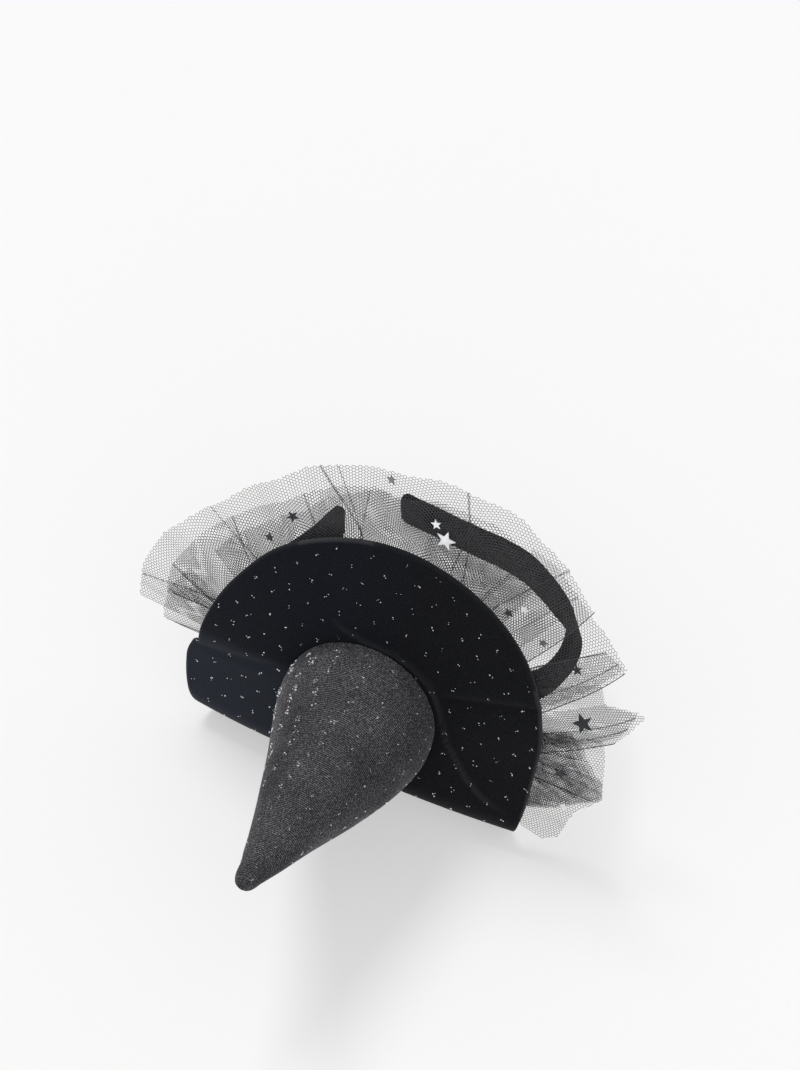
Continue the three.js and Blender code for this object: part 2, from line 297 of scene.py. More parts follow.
def smooth_rows(rows, at, column=1):
    """A smooth value between a table's rows, with slopes from both neighbours."""
    last = len(rows) - 1
    if at <= rows[0][0]:
        return rows[0][column]
    if at >= rows[last][0]:
        return rows[last][column]
    i = 0
    while rows[i + 1][0] < at:
        i += 1
    step = rows[i + 1][0] - rows[i][0]
    share = (at - rows[i][0]) / step
    rise = rows[i + 1][column] - rows[i][column]

    def slope(k):
        low = rows[max(k - 1, 0)]
        high = rows[min(k + 1, last)]
        return (high[column] - low[column]) / (high[0] - low[0]) * step

    bend = share * (1 - share) ** 2 * slope(i) - share**2 * (1 - share) * slope(i + 1)
    return rows[i][column] + rise * share * share * (3 - 2 * share) + bend


def straight_rows(rows, at):
    """A value on the straight line between a table's rows."""
    for low, high in zip(rows, rows[1:]):
        if at <= high[0]:
            share = max((at - low[0]) / (high[0] - low[0]), 0)
            return low[1] + (high[1] - low[1]) * share
    return rows[-1][1]


def round_rows(rows, angle, column):
    """A smooth value from a table that goes once round the brim."""
    first = rows[0][0]
    turned = (angle - first) % 360 + first
    before = (rows[-1][0] - 360, *rows[-1][1:])
    after = [(row[0] + 360, *row[1:]) for row in rows[:2]]
    return smooth_rows([before, *rows, *after], turned, column)


def level():
    """Height of the cone's foot above the table."""
    return BEND_RADIUS * (1 + math.sin(LEAN)) - BEND_START * math.cos(LEAN) + BRIM_HALF_WALL


def on_hat(x, up, out, back):
    """A place from the hat's own directions: right, up the brim, out along the cone, and straight back."""
    return Vector((
        HAT_X + x,
        HAT_Y + back + up * math.sin(LEAN) - out * math.cos(LEAN),
        level() + up * math.cos(LEAN) + out * math.sin(LEAN),
    ))


def edge_radius(angle):
    return round_rows(BRIM_EDGE, angle, 1)


def brim_back(angle, radius):
    """How far the brim is bent back at a place."""
    edge = edge_radius(angle)
    foot = bpy.context.scene.witch_hat.cone_radius / MM
    share = min(max((radius - foot) / (edge - foot), 0), 1)
    return round_rows(BRIM_EDGE, angle, 2) * share**1.5


def above_crease(x, up):
    return (up - CREASE_HEIGHT) * math.cos(CREASE_SLOPE) - x * math.sin(CREASE_SLOPE)


def crease_depth(x, up, radius):
    """The crease is a shallow valley that begins beside the cone."""
    clear = min(max((radius - CONE_FOOT) / 12, 0), 1)
    return 0.9 * clear * math.exp(-((above_crease(x, up) / 3) ** 2))


def ridge_share(x, up):
    """How near a place of the brim is to the crest of the soft ridge, from 0 to 1."""
    best = 1e9
    along = 0
    place = Vector((x, up))
    for i, (start, end) in enumerate(zip(BRIM_RIDGE, BRIM_RIDGE[1:])):
        a = Vector(start)
        run = Vector(end) - a
        share = min(max((place - a).dot(run) / run.length_squared, 0), 1)
        distance = (place - a - run * share).length
        if distance < best:
            best = distance
            along = (i + share) / (len(BRIM_RIDGE) - 1)
    fade = min(along / 0.15, (1 - along) / 0.12, 1)
    return max(fade, 0) * math.exp(-((best / 0.9) ** 2))


def cloth_edge(angle):
    """The brim's edge with the small step and notch where its crease meets the left side."""
    past = (angle - 180.3 + 180) % 360 - 180
    step = 1.2 * math.tanh(past / 0.5) * math.exp(-((past / 7) ** 2))
    return edge_radius(angle) + step - 1.7 * math.exp(-((past / 0.8) ** 2))


def brim_point(angle, radius, lift=0.0):
    """A place on the brim's middle surface, with crease, ridge and the turned-under foot."""
    x = radius * math.cos(math.radians(angle))
    up = radius * math.sin(math.radians(angle))
    out = 0.8 * ridge_share(x, up) - crease_depth(x, up, radius) + lift
    if up < BEND_START:
        past = BEND_START - up
        turn = min(past / BEND_RADIUS, math.pi / 2 + LEAN)
        flat = past - turn * BEND_RADIUS
        up = BEND_START - (BEND_RADIUS + lift) * math.sin(turn) - flat * math.cos(turn)
        out -= lift + BEND_RADIUS - (BEND_RADIUS + lift) * math.cos(turn) + flat * math.sin(turn)
    return on_hat(x, up, out, brim_back(angle, radius))


def fold_wave(angle, period):
    """A wave from 0 to 1 with straight sides and slightly rounded crests."""
    return 0.5 - math.asin(0.985 * math.cos(2 * math.pi * angle / period)) / math.pi


def net_point(layer, angle, radius, outer):
    """A place on a sheet of the net, which spreads, flares and ripples more towards its outer edge."""
    share = (radius - SEAM_RADIUS) / (outer - SEAM_RADIUS)
    broad = fold_wave(angle, 15)
    fine = fold_wave(angle + 1.2 * math.sin(angle / 9), 4.6)
    ripple = 2 * (0.86 * broad + 0.14 * fine) * abs(share) ** 1.5
    stacked = 1.9 + layer * 1.4
    spread = (1.2 + layer * 0.7) * share
    flare = smooth_rows(NET_FLARE, angle) * share**2
    back = brim_back(angle, radius) + stacked + spread + flare + ripple
    x = radius * math.cos(math.radians(angle))
    up = radius * math.sin(math.radians(angle))
    return on_hat(x, up, -crease_depth(x, up, radius), back)


def clear_selection():
    if bpy.context.mode != "OBJECT":
        bpy.ops.object.mode_set(mode="OBJECT")
    bpy.ops.object.select_all(action="DESELECT")


def add_piece(name, points, faces, material, smooth=True):
    """A mesh object from points in millimetres."""
    mesh = bpy.data.meshes.new(name)
    mesh.from_pydata([Vector(point) * MM for point in points], [], faces)
    mesh.materials.append(material)
    mesh.polygons.foreach_set("use_smooth", [smooth] * len(mesh.polygons))
    mesh.update()
    piece = bpy.data.objects.new(name, mesh)
    bpy.context.scene.collection.objects.link(piece)
    return piece


def ring_faces(rings, around):
    """Faces between rings of points, each ring joined to the next."""
    faces = []
    for i in range(rings - 1):
        for j in range(around):
            k = (j + 1) % around
            faces.append((i * around + j, i * around + k, (i + 1) * around + k, (i + 1) * around + j))
    return faces


def apply_modifiers(piece):
    clear_selection()
    piece.select_set(True)
    bpy.context.view_layer.objects.active = piece
    for modifier in list(piece.modifiers):
        bpy.ops.object.modifier_apply(modifier=modifier.name)


def face_outwards(piece):
    work = bmesh.new()
    work.from_mesh(piece.data)
    bmesh.ops.recalc_face_normals(work, faces=work.faces)
    work.to_mesh(piece.data)
    work.free()


def settle(piece, slot, *nodes):
    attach(piece, "root")
    if nodes:
        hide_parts(*nodes)


def write_attribute(piece, name, values):
    layer = piece.data.attributes.new(name, "FLOAT", "POINT")
    layer.data.foreach_set("value", values)


class Nodes:
    """Adds nodes to a new material and joins them."""

    def __init__(self, name):
        self.material = bpy.data.materials.new(name)
        self.material.use_nodes = True
        self.tree = self.material.node_tree
        self.shader = self.tree.nodes["Principled BSDF"]

    def add(self, kind, settings=None, **inputs):
        node = self.tree.nodes.new(kind)
        for key, value in (settings or {}).items():
            setattr(node, key, value)
        for key, value in inputs.items():
            self.put(node, key.replace("_", " "), value)
        return node

    def put(self, node, socket, value):
        """Sets a socket, or joins it to another node's output."""
        target = node.inputs[socket]
        if isinstance(value, bpy.types.NodeSocket):
            self.tree.links.new(value, target)
        else:
            target.default_value = value

    def place(self):
        return self.add("ShaderNodeTexCoord").outputs["Object"]

    def noise(self, scale, detail=2.0, rough=0.5):
        node = self.add("ShaderNodeTexNoise", Scale=scale, Detail=detail, Roughness=rough)
        self.put(node, "Vector", self.place())
        return node.outputs["Fac"]

    def ramp(self, value, low, high, to_low=0.0, to_high=1.0):
        node = self.add("ShaderNodeMapRange")
        sockets = ("From Min", "From Max", "To Min", "To Max", "Value")
        for socket, given in zip(sockets, (low, high, to_low, to_high, value)):
            self.put(node, socket, given)
        return node.outputs["Result"]

    def mix(self, share, a, b):
        node = self.add("ShaderNodeMix", {"data_type": "RGBA"})
        self.put(node, 0, share)
        self.put(node, 6, a)
        self.put(node, 7, b)
        return node.outputs[2]

    def math(self, operation, a, b=0.0):
        node = self.add("ShaderNodeMath", {"operation": operation})
        self.put(node, 0, a)
        self.put(node, 1, b)
        return node.outputs[0]

    def bump(self, height, distance, strength=1.0):
        node = self.add("ShaderNodeBump", Strength=strength, Distance=distance)
        self.put(node, "Height", height)
        self.put(self.shader, "Normal", node.outputs["Normal"])

    def attribute(self, name):
        return self.add("ShaderNodeAttribute", {"attribute_name": name}).outputs["Fac"]


def shade(color, factor=1.0):
    return (*[value * factor for value in color], 1.0)


def brim_velvet():
    """Near-black velvet with a fine uneven nap and a lighter cut edge; bluer to the left and brighter on the
    lower-left flap as painted light, with painted sheen on the ridge, crease and bent-under foot.
    """
    look = bpy.context.scene.witch_hat
    nodes = Nodes("brim velvet")
    split = nodes.add("ShaderNodeSeparateXYZ")
    nodes.put(split, 0, nodes.place())
    # Painted light: the brim's left is bluer, and brighter still low on the left where the flap turns, as if
    # that side met the light at another angle
    side = nodes.ramp(split.outputs["X"], -0.02, 0.012)
    above = nodes.ramp(split.outputs["Z"], 0.045, 0.051)
    flap = nodes.mix(above, shade(look.velvet_flap_light), shade(look.velvet_cool_light))
    cloth = nodes.mix(side, flap, shade(look.velvet_warm))
    nap = nodes.ramp(nodes.noise(1900, 3, 0.7), 0.48, 0.68)
    soft = nodes.ramp(nodes.noise(60, 2), 0.3, 0.7, 0.0, 0.5)
    cloth = nodes.mix(nodes.math("MULTIPLY", nap, 0.75), cloth, shade(look.velvet_nap))
    cloth = nodes.mix(nodes.math("MULTIPLY", soft, 0.12), cloth, shade(look.velvet_nap))
    # Painted sheen on the ridge, crease and bent-under foot, together with the lighter cut edge
    cloth = nodes.mix(nodes.attribute("sheen_and_edge"), cloth, shade(look.velvet_sheen_and_edge))
    nodes.put(nodes.shader, "Base Color", cloth)
    nodes.put(nodes.shader, "Roughness", 0.92)
    nodes.put(nodes.shader, "Specular IOR Level", 0.15)
    nodes.put(nodes.shader, "Sheen Weight", 0.06)
    nodes.put(nodes.shader, "Sheen Roughness", 0.45)
    nodes.bump(nodes.noise(1400, 3, 0.6), 0.00025, 0.6)
    return nodes.material


def cone_velvet():
    """Ribbed stretch velvet, with painted sheen making the crests of its ribs greyer."""
    look = bpy.context.scene.witch_hat
    nodes = Nodes("cone velvet")
    grain = nodes.ramp(nodes.noise(2200, 2, 0.6), 0.48, 0.6, 0.2, 1.0)
    wide = nodes.ramp(nodes.noise(45, 3), 0.35, 0.7, 0.55, 1.0)
    # Painted sheen on the rib crests, broken up by the fine grain and by wide patches
    crest = nodes.math("MULTIPLY", nodes.attribute("rib"), grain)
    crest = nodes.math("MULTIPLY", crest, wide)
    cloth = nodes.mix(crest, shade(look.cone_dark), shade(look.cone_rib_sheen))
    nodes.put(nodes.shader, "Base Color", cloth)
    nodes.put(nodes.shader, "Roughness", 0.8)
    nodes.put(nodes.shader, "Specular IOR Level", 0.15)
    nodes.put(nodes.shader, "Sheen Weight", 0.12)
    nodes.put(nodes.shader, "Sheen Roughness", 0.2)
    nodes.bump(nodes.noise(1500, 2, 0.6), 0.00025, 0.6)
    return nodes.material


def band_cloth():
    """Dark grey cloth with a fine grain and paler worn patches."""
    look = bpy.context.scene.witch_hat
    nodes = Nodes("band cloth")
    grain = nodes.ramp(nodes.noise(1600, 3, 0.65), 0.35, 0.7)
    cloth = nodes.mix(grain, shade(look.band_color, 0.7), shade(look.band_color, 1.35))
    worn = nodes.ramp(nodes.noise(40, 2), 0.4, 0.7, 0.0, 0.35)
    cloth = nodes.mix(worn, cloth, shade(look.band_color, 1.5))
    nodes.put(nodes.shader, "Base Color", cloth)
    nodes.put(nodes.shader, "Roughness", 0.95)
    nodes.put(nodes.shader, "Specular IOR Level", 0.1)
    nodes.put(nodes.shader, "Sheen Weight", 0.01)
    nodes.bump(nodes.noise(1300, 3, 0.6), 0.0003, 0.7)
    return nodes.material


def net_thread():
    """Black thread of the net, a little uneven in tone."""
    look = bpy.context.scene.witch_hat
    nodes = Nodes("net thread")
    grain = nodes.ramp(nodes.noise(700, 2), 0.35, 0.7)
    thread = nodes.mix(grain, shade(look.net_color, 0.75), shade(look.net_color, 1.5))
    nodes.put(nodes.shader, "Base Color", thread)
    nodes.put(nodes.shader, "Roughness", 0.5)
    nodes.put(nodes.shader, "Specular IOR Level", 0.4)
    return nodes.material


def foil(name, color, rough):
    """Pressed foil with a faint crinkle."""
    nodes = Nodes(name)
    tone = nodes.ramp(nodes.noise(350, 3), 0.3, 0.7)
    nodes.put(nodes.shader, "Base Color", nodes.mix(tone, shade(color, 0.8), shade(color, 1.1)))
    nodes.put(nodes.shader, "Metallic", 1.0)
    nodes.put(nodes.shader, "Roughness", rough)
    nodes.bump(nodes.noise(500, 2), 0.0002, 0.4)
    return nodes.material


def floor_paper():
    look = bpy.context.scene.witch_hat
    nodes = Nodes("white floor")
    tone = nodes.ramp(nodes.noise(4, 2), 0.3, 0.7)
    paper = nodes.mix(tone, shade(look.floor_color, 0.99), shade(look.floor_color))
    nodes.put(nodes.shader, "Base Color", paper)
    nodes.put(nodes.shader, "Roughness", 0.9)
    nodes.put(nodes.shader, "Specular IOR Level", 0.1)
    nodes.put(nodes.shader, "Emission Color", (1, 1, 1, 1))
    nodes.put(nodes.shader, "Emission Strength", look.floor_glow)
    return nodes.material


def color_property(name, description, default):
    return bpy.props.FloatVectorProperty(
        name=name, description=description, default=default, subtype="COLOR", size=3, min=0, max=1,
        precision=4,
    )


def length_property(name, description, default_mm):
    return bpy.props.FloatProperty(
        name=name, description=description, default=default_mm * MM, min=0, unit="LENGTH", precision=5,
    )


def light_property(name, description, default):
    return bpy.props.FloatProperty(name=name, description=description, default=default, min=0)


class WitchHatSettings(bpy.types.PropertyGroup):
    """Sizes and colours of the hat"""

    cone_radius: length_property("Cone radius", "Radius of the cone's foot", CONE_FOOT)
    cone_height: length_property("Cone height", "Length of the cone along its axis", 114)
    cone_wall: length_property("Cone wall", "Thickness of the cone's cloth", 1.5)
    rib_pitch: length_property("Rib pitch", "Distance from rib to rib on the cone", 0.8)
    rib_height: length_property("Rib height", "Height of the cone's ribs", 0.25)
    brim_wall: length_property("Brim wall", "Thickness of the brim", 2)
    net_pitch: length_property("Net pitch", "Width of one cell of the net", 1.3)
    thread_width: length_property("Thread width", "Width of the net's thread", 0.165)
    band_width: length_property("Band width", "Width of the hair band", 15)
    band_thickness: length_property("Band thickness", "Thickness of the hair band", 4)
    dot_pitch: length_property("Dot pitch", "Distance between columns of glitter dots", 7)
    flake_size: length_property("Flake size", "Width of one glitter flake", 0.8)
    # Painted light: the brim's left is bluer and its lower-left flap brighter; the right keeps the darker
    # neutral velvet
    velvet_cool_light: color_property("Cool velvet", "Brim velvet on the upper left", (0.0042, 0.006, 0.0115))
    velvet_flap_light: color_property("Flap velvet", "Brim velvet on the lower left", (0.019, 0.0235, 0.034))
    velvet_warm: color_property("Warm velvet", "Brim velvet on the right", (0.0034, 0.0036, 0.005))
    velvet_nap: color_property("Velvet nap", "Lighter tips of the brim's nap", (0.015, 0.016, 0.02))
    # Colour of the painted sheen on the brim's ridge, crease and bent-under foot, and of its lighter cut edge
    velvet_sheen_and_edge: color_property("Velvet edge", "Worn folds and cut edge of the brim", (0.075, 0.075, 0.08))
    cone_dark: color_property("Cone ground", "Cone velvet between the ribs", (0.0022, 0.0022, 0.0032))
    # Colour of the painted sheen on the crests of the cone's ribs
    cone_rib_sheen: color_property("Cone rib", "Crests of the cone's ribs", (0.31, 0.3, 0.32))
    band_color: color_property("Band cloth", "Cover of the hair band", (0.007, 0.0068, 0.009))
    net_color: color_property("Net thread", "Thread of the net", (0.05, 0.05, 0.054))
    foil_bright: color_property("Bright foil", "Foil stars that shine", (0.93, 0.94, 0.96))
    foil_dark: color_property("Dark foil", "Foil stars that look dark", (0.06, 0.062, 0.07))
    foil_grey: color_property("Grey foil", "Foil stars that look grey", (0.25, 0.25, 0.26))
    glitter_color: color_property("Glitter", "Glitter flakes on the velvet", (0.85, 0.86, 0.9))
    floor_color: color_property("Floor", "Table under the hat", (0.47, 0.47, 0.47))
    floor_glow: light_property("Floor glow", "Light of the table itself", 0.46)
    sky_light: light_property("Sky light", "Even light from all sides", 0.6)


class WITCHHAT_OT_cone(bpy.types.Operator):
    """Model the pointed cone as a hollow shell of ribbed velvet"""

    bl_idname = "witch_hat.cone"
    bl_label = "Cone"

    def execute(self, context):
        look = context.scene.witch_hat
        around = 120
        inner_rings = 12
        inner_top = 0.9
        tip_start = 0.985
        height = look.cone_height / MM
        rows = int(height / (look.rib_pitch / MM)) * 2
        points = []
        ribs = []

        def add_ring(share, lift, crest):
            radius = smooth_rows(CONE_ROWS, share) * look.cone_radius / MM + lift
            aside = smooth_rows(CONE_ROWS, share, 2)
            for j in range(around):
                turn = 2 * math.pi * j / around
                spread = max(radius + cone_dent(share, turn), 0.2)
                x = aside + spread * math.cos(turn)
                points.append(on_hat(x, spread * math.sin(turn), CONE_START + share * height, 0))
                ribs.append(crest)

        for i in range(inner_rings, -1, -1):
            add_ring(inner_top * i / inner_rings, -look.cone_wall / MM, 0.0)
        for i in range(rows + 1):
            share = i / rows
            crest = i % 2
            flat = min(smooth_rows(CONE_ROWS, share) * 8, 1)
            add_ring(share, crest * flat * look.rib_height / MM, float(crest) if share < tip_start else 0.5)
        count = len(points) // around
        faces = ring_faces(count, around)
        faces.append(tuple(reversed(range(around))))
        faces.append(tuple((count - 1) * around + j for j in range(around)))
        cone = add_piece("cone_shell", points, faces, cone_velvet())
        write_attribute(cone, "rib", ribs)
        face_outwards(cone)
        settle(cone, "velvet", "cone")
        return {"FINISHED"}


def cone_dent(share, turn):
    """Small dents and slack of the cone's cloth, in millimetres."""
    slack = 0.35 * math.sin(3 * turn + 9 * share) * math.sin(math.pi * share)
    tip = -0.6 * math.exp(-(((share - 0.9) / 0.04) ** 2)) * max(math.cos(turn - math.pi), 0)
    foot = 2.4 * max(math.sin(turn), 0) * max(1 - share / 0.35, 0)
    return slack + tip + foot


class WITCHHAT_OT_brim(bpy.types.Operator):
    """Model the brim with its crease, ridge and turned-under foot"""

    bl_idname = "witch_hat.brim"
    bl_label = "Brim"

    def execute(self, context):
        look = context.scene.witch_hat
        around = 360
        rings = 46
        middle = 0.04
        shares = [middle + (1 - middle) * (i / rings) ** 0.85 for i in range(rings + 1)]
        points = []
        sheen_and_edge = []
        for share in shares:
            for j in range(around):
                radius = share * cloth_edge(j)
                points.append(brim_point(j, radius))
                # Painted sheen and the lighter cut edge, for each point of the brim
                sheen_and_edge.append(worn(j, radius, share))
        faces = ring_faces(len(shares), around)
        faces.append(tuple(range(around)))
        brim = add_piece("brim_cloth", points, faces, brim_velvet())
        write_attribute(brim, "sheen_and_edge", sheen_and_edge)
        face_outwards(brim)
        wall = brim.modifiers.new("wall", "SOLIDIFY")
        wall.thickness = look.brim_wall
        wall.offset = 0
        apply_modifiers(brim)
        settle(brim, "velvet", "brim")
        return {"FINISHED"}


def worn(angle, radius, share):
    """How light the brim's cloth is made: painted sheen on the ridge, a painted highlight along the crease,
    ribbed painted sheen where it bends under, and a lighter cut edge.
    """
    x = radius * math.cos(math.radians(angle))
    up = radius * math.sin(math.radians(angle))
    # Painted sheen along the crest of the soft ridge
    sheen_and_edge = 0.26 * ridge_share(x, up)
    if share > 0.999:
        sheen_and_edge += 0.5 if -20 < (angle + 180) % 360 - 180 < 30 or 95 < angle < 118 else 0.1
    # A painted highlight along the upper lip of the crease
    line = math.exp(-(((above_crease(x, up) - 1.2) / 0.8) ** 2))
    sheen_and_edge += 0.1 * min(max((radius - 36) / 8, 0), 1) * line
    # Ribbed painted sheen where the foot bends under towards the table
    past = BEND_START - up
    if past > 8:
        sheen_and_edge += 0.22 * min((past - 8) / 5, 1) * (0.6 + 0.4 * math.sin(2 * math.pi * x / 2.4))
    return min(sheen_and_edge, 1)


class WITCHHAT_OT_glitter(bpy.types.Operator):
    """Set small clusters of glitter flakes on the brim and the cone"""

    bl_idname = "witch_hat.glitter"
    bl_label = "Glitter"

    def execute(self, context):
        look = context.scene.witch_hat
        draw = random.Random(SEED)
        column_step = look.dot_pitch / MM
        row_step = column_step * 1.55
        size = look.flake_size / MM
        above_cloth = BRIM_HALF_WALL + 0.1
        above_ribs = 0.3
        clear_of_edge = 1.5
        clear_of_cone = 31
        table_side = -42
        band_step = 5.3
        material = foil("glitter", look.glitter_color, 0.25)
        points = []
        faces = []
        for column in range(-12, 13):
            for row in range(-9, 9):
                x = column * column_step + draw.uniform(-0.6, 0.6)
                up = (row + 0.5 * (column % 2)) * row_step + draw.uniform(-0.7, 0.7)
                radius = math.hypot(x, up)
                angle = math.degrees(math.atan2(up, x))
                if radius < clear_of_cone or radius > edge_radius(angle) - clear_of_edge or up < table_side:
                    continue
                for _ in range(draw.choice((2, 2, 3, 3))):
                    place = Vector((x + draw.gauss(0, 0.6), up + draw.gauss(0, 0.6)))
                    spot = math.degrees(math.atan2(place.y, place.x))
                    add_flake(points, faces, draw, brim_point(spot, place.length, above_cloth), size)
        brim_glitter = add_piece("brim_glitter", points, faces, material, smooth=False)
        settle(brim_glitter, "foil")
        points = []
        faces = []
        height = look.cone_height / MM
        for row in range(1, 22):
            share = row * band_step / height
            radius = smooth_rows(CONE_ROWS, share) * look.cone_radius / MM
            aside = smooth_rows(CONE_ROWS, share, 2)
            count = max(int(2 * math.pi * radius / 12), 2)
            for k in range(count):
                turn = 2 * math.pi * (k + 0.5 * (row % 2) + 0.37 * row) / count + draw.uniform(-0.06, 0.06)
                # Painted glints: towards the light and near the foot, the clusters get more, larger and
                # wider-spread flakes so they shine brighter
                lit = max(math.cos(turn - math.radians(130)), 0) * (1 - share)
                for _ in range(draw.choice((2, 2, 3)) + int(9 * lit)):
                    near = turn + draw.gauss(0, 0.45 + 0.45 * lit) / radius
                    along = share + draw.gauss(0, 0.45 + 0.5 * lit) / height
                    spread = smooth_rows(CONE_ROWS, along) * look.cone_radius / MM
                    spread += cone_dent(along, near) + above_ribs
                    x = aside + spread * math.cos(near)
                    place = on_hat(x, spread * math.sin(near), CONE_START + along * height, 0)
                    add_flake(points, faces, draw, place, size * (1 + 0.6 * lit))
        cone_glitter = add_piece("cone_glitter", points, faces, material, smooth=False)
        settle(cone_glitter, "foil")
        return {"FINISHED"}


def add_flake(points, faces, draw, place, size):
    """A thin eight-sided grain, tilted at random."""
    spin = Matrix.Rotation(draw.uniform(0, 2 * math.pi), 3, "Z")
    tilt = spin @ Matrix.Rotation(draw.uniform(-0.5, 0.5), 3, "X")
    lean = Matrix.Rotation(math.radians(70), 3, "X")
    width = size * draw.uniform(0.5, 1.0)
    thick = 0.08
    corners = (
        (width / 2, 0, 0),
        (0, width * 0.42, 0),
        (-width / 2, 0, 0),
        (0, -width * 0.42, 0),
        (0, 0, thick),
        (0, 0, -thick),
    )
    first = len(points)
    points.extend(place + lean @ tilt @ Vector(corner) for corner in corners)
    for j in range(4):
        k = (j + 1) % 4
        faces.append((first + j, first + k, first + 4))
        faces.append((first + k, first + j, first + 5))


def catmull(rows, steps):
    """Points along a centripetal curve through the rows, evenly spaced: place, lean."""
    between = 24
    ends = [rows[0], *rows, rows[-1]]
    fine = []
    for i in range(1, len(ends) - 2):
        p = [Vector(ends[i + k][:3]) for k in (-1, 0, 1, 2)]
        if i == 1:
            p[0] = p[1] * 2 - p[2]
        if i == len(ends) - 3:
            p[3] = p[2] * 2 - p[1]
        t = [0]
        for a, b in zip(p, p[1:]):
            t.append(t[-1] + math.sqrt((b - a).length))
        for k in range(between):
            share = k / between
            at = t[1] + (t[2] - t[1]) * share
            a = [p[n].lerp(p[n + 1], (at - t[n]) / (t[n + 1] - t[n])) for n in range(3)]
            b = [a[n].lerp(a[n + 1], (at - t[n]) / (t[n + 2] - t[n])) for n in range(2)]
            point = b[0].lerp(b[1], share)
            lean = Vector(rows[i - 1][3:]).lerp(Vector(rows[i][3:]), share)
            fine.append((point, lean))
    fine.append((Vector(rows[-1][:3]), Vector(rows[-1][3:])))
    lengths = [0]
    for (a, _), (b, _) in zip(fine, fine[1:]):
        lengths.append(lengths[-1] + (b - a).length)
    even = []
    i = 0
    for k in range(steps + 1):
        want = lengths[-1] * k / steps
        while i < len(fine) - 2 and lengths[i + 1] < want:
            i += 1
        share = (want - lengths[i]) / (lengths[i + 1] - lengths[i])
        even.append((fine[i][0].lerp(fine[i + 1][0], share), fine[i][1].lerp(fine[i + 1][1], share)))
    return even, lengths[-1]


class WITCHHAT_OT_headband(bpy.types.Operator):
    """Model the covered hair band along its line"""

    bl_idname = "witch_hat.headband"
    bl_label = "Headband"

    def execute(self, context):
        look = context.scene.witch_hat
        steps = 220
        corner = 1.8
        end_sharpness = 0.95
        table_gap = 0.02
        line, length = catmull(BAND_LINE, steps)
        width = look.band_width / MM
        thick = look.band_thickness / MM
        draw = random.Random(SEED)
        waves = [(draw.uniform(0.15, 0.5), draw.uniform(0, 6.3)) for _ in range(5)]
        section = band_section(width / 2, thick / 2)
        points = []
        for i, (middle, lean) in enumerate(line):
            before = line[max(i - 1, 0)][0]
            after = line[min(i + 1, steps)][0]
            along = (after - before).normalized()
            up = Vector((lean.x, lean.y, 1))
            up = (up - along * up.dot(along)).normalized()
            across = along.cross(up).normalized()
            from_end = min(i, steps - i) / steps * length
            short = max(1 - from_end / corner, 0)
            trim = corner * (1 - math.sqrt(1 - short**2 * end_sharpness))
            for high, deep in section:
                scale = (width / 2 - trim) / (width / 2)
                wave = sum(0.035 * math.sin(f * i * length / steps + g + high * 0.2) for f, g in waves)
                offset = deep + wave * (1 if deep > 0 else -1)
                point = Vector((HAT_X, HAT_Y, 0)) + middle + up * high * scale + across * offset
                point.z = max(point.z, table_gap)
                points.append(point)
        around = len(section)
        faces = ring_faces(steps + 1, around)
        faces.append(tuple(reversed(range(around))))
        faces.append(tuple(steps * around + j for j in range(around)))
        band = add_piece("band_cover", points, faces, band_cloth())
        face_outwards(band)
        settle(band, "covered_band", "headband")
        return {"FINISHED"}


def band_section(half, deep):
    """Flat faces with full round edges."""
    rows = []
    flats = [half - deep - k * (2 * (half - deep)) / 8 for k in range(1, 8)]
    arc = [math.radians(-90 + 22.5 * k) for k in range(9)]
    rows += [(half - deep + deep * math.cos(a), deep * math.sin(a)) for a in arc]
    rows += [(high, deep) for high in flats]
    rows += [(-(half - deep) - deep * math.cos(a), -deep * math.sin(a)) for a in arc]
    rows += [(-high, -deep) for high in flats]
    return rows


def pleated(along, depth_share, pleats):
    """Where a place of the flat sheet ends up: how far along its seam, and how far behind the sheet."""
    least_take = 0.2
    first_layer = 0.25
    second_layer = 0.1
    fade = 6
    laid = along
    behind = 0.0
    for inner_angle, outer_angle, inner_take, outer_take in pleats:
        line = (inner_angle + (outer_angle - inner_angle) * depth_share) * MM_PER_DEGREE
        take = inner_take + (outer_take - inner_take) * depth_share
        past = laid - line
        if past <= 0 or take < least_take:
            continue
        if past < take:
            laid = line - past
            behind += first_layer * past / take
        elif past < 2 * take:
            laid = line - 2 * take + past
            behind += first_layer + second_layer * (past - take) / take
        else:
            laid = line - 2 * take + past
            behind += (first_layer + second_layer) * math.exp(-(past - 2 * take) / fade)
    return laid, behind


class WITCHHAT_OT_tulle(bpy.types.Operator):
    """Knit each sheet of hexagonal net and lay it in its pleats"""

    bl_idname = "witch_hat.tulle"
    bl_label = "Tulle"

    def execute(self, context):
        look = context.scene.witch_hat
        material = net_thread()
        for sheet in NET_SHEETS:
            pitch = look.net_pitch / MM * sheet.get("gather", 1)
            points, faces, flat, thread_area = knit(sheet, pitch, look.thread_width / MM)
            net = add_piece(sheet["name"] + "_net", points, faces, material, smooth=False)
            settle(net, "net", *([sheet["name"]] if sheet["stands_for_node"] else []))
        return {"FINISHED"}


